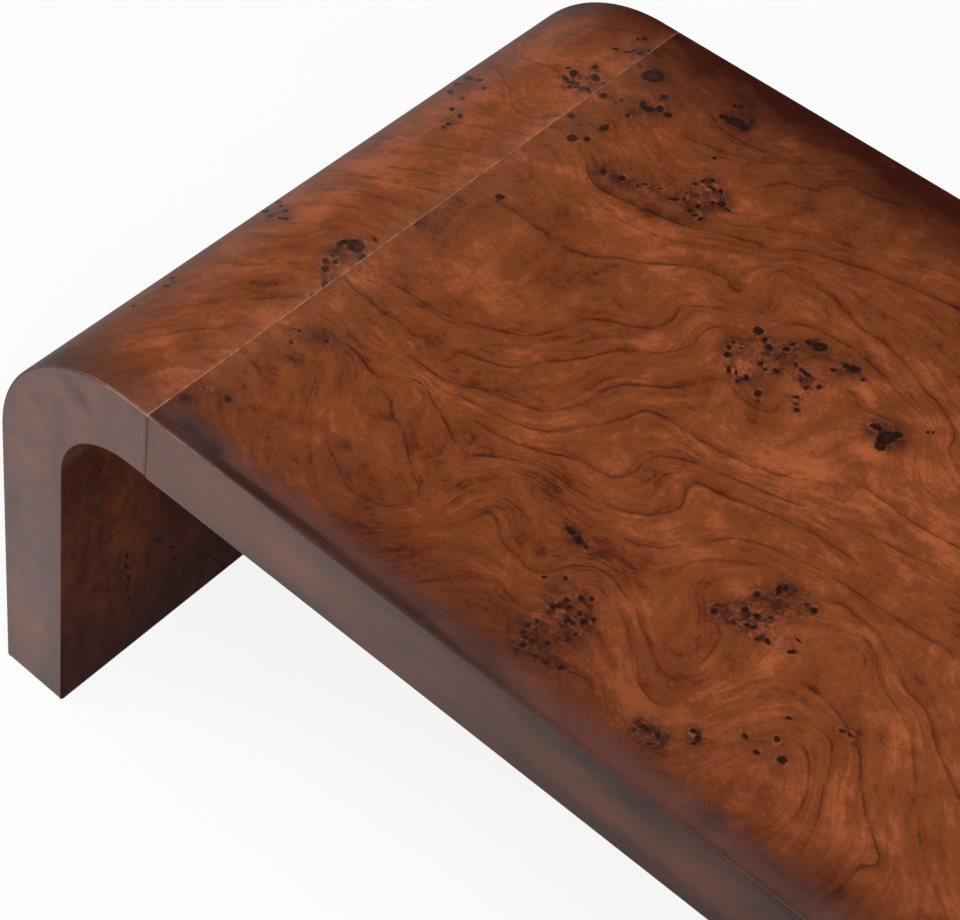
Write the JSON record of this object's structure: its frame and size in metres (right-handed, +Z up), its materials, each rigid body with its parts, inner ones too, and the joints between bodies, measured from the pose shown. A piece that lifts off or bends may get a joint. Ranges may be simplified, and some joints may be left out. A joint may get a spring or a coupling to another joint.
{
  "type": "waterfall coffee table",
  "caption": "Low coffee table whose flat burl-veneered top turns down in rounded bends into two slab legs, built as a bolted knock-down assembly with screw-in levelling feet.",
  "frame": {"origin": "on the floor under the middle of the table, with the levellers screwed fully in", "axes": "+X along the length towards the right leg, +Y towards the back edge, +Z up"},
  "size_m": [1.2, 0.6, 0.412],
  "materials": {
    "burl_veneer": "reddish-brown burl leaf under satin-gloss lacquer, toned dark along the edges",
    "backing_veneer": "plain dark-stained balancing leaf, thin matt lacquer",
    "plywood": "bare bending and flat plywood",
    "core_timber": "bare planed timber and laminated blanks",
    "beech": "bare turned beech",
    "zinc_steel": "bright zinc plate",
    "brass": "turned",
    "black_nylon": "moulded, fine texture"
  },
  "bodies": {
    "table": {"centre_back_edge_veneer": "burl_veneer", "centre_back_rail": "core_timber", "centre_front_edge_veneer": "burl_veneer", "centre_front_rail": "core_timber", "centre_left_joint_rail": "core_timber", "centre_lower_skin": "plywood", "centre_rib_1": "core_timber", "centre_rib_2": "core_timber", "centre_rib_3": "core_timber", "centre_right_joint_rail": "core_timber", "centre_top_veneer": "burl_veneer", "centre_underside_veneer": "backing_veneer", "centre_upper_skin": "plywood", "left_foot_inserts": "brass", "left_half_moon_washers": "zinc_steel", "left_joint_dowels": "beech", "left_joint_nuts": "zinc_steel", "left_joint_studs": "zinc_steel", "left_leg_back_edge_veneer": "burl_veneer", "left_leg_back_former": "core_timber", "left_leg_foot_rail": "core_timber", "left_leg_front_edge_veneer": "burl_veneer", "left_leg_front_former": "core_timber", "left_leg_inner_former_1": "core_timber", "left_leg_inner_former_2": "core_timber", "left_leg_inner_skin": "plywood", "left_leg_inner_veneer": "burl_veneer", "left_leg_joint_block": "core_timber", "left_leg_outer_skin": "plywood", "left_leg_outer_veneer": "burl_veneer", "left_recess_caps": "black_nylon", "left_stud_inserts": "brass", "right_foot_inserts": "brass", "right_half_moon_washers": "zinc_steel", "right_joint_dowels": "beech", "right_joint_nuts": "zinc_steel", "right_joint_studs": "zinc_steel", "right_leg_back_edge_veneer": "burl_veneer", "right_leg_back_former": "core_timber", "right_leg_foot_rail": "core_timber", "right_leg_front_edge_veneer": "burl_veneer", "right_leg_front_former": "core_timber", "right_leg_inner_former_1": "core_timber", "right_leg_inner_former_2": "core_timber", "right_leg_inner_skin": "plywood", "right_leg_inner_veneer": "burl_veneer", "right_leg_joint_block": "core_timber", "right_leg_outer_skin": "plywood", "right_leg_outer_veneer": "burl_veneer", "right_recess_caps": "black_nylon", "right_stud_inserts": "brass"},
    "left_front_leveller": {"left_front_leveller_stem": "zinc_steel", "left_front_leveller_pad": "black_nylon"},
    "left_back_leveller": {"left_back_leveller_stem": "zinc_steel", "left_back_leveller_pad": "black_nylon"},
    "right_front_leveller": {"right_front_leveller_stem": "zinc_steel", "right_front_leveller_pad": "black_nylon"},
    "right_back_leveller": {"right_back_leveller_stem": "zinc_steel", "right_back_leveller_pad": "black_nylon"}
  },
  "joints": [
    {"name": "left_front_leveller_travel", "type": "slide", "parent": "table", "child": "left_front_leveller", "axis": [0, 0, -1], "range_m": [0, 0.01]},
    {"name": "left_back_leveller_travel", "type": "slide", "parent": "table", "child": "left_back_leveller", "axis": [0, 0, -1], "range_m": [0, 0.01]},
    {"name": "right_front_leveller_travel", "type": "slide", "parent": "table", "child": "right_front_leveller", "axis": [0, 0, -1], "range_m": [0, 0.01]},
    {"name": "right_back_leveller_travel", "type": "slide", "parent": "table", "child": "right_back_leveller", "axis": [0, 0, -1], "range_m": [0, 0.01]}
  ]
}
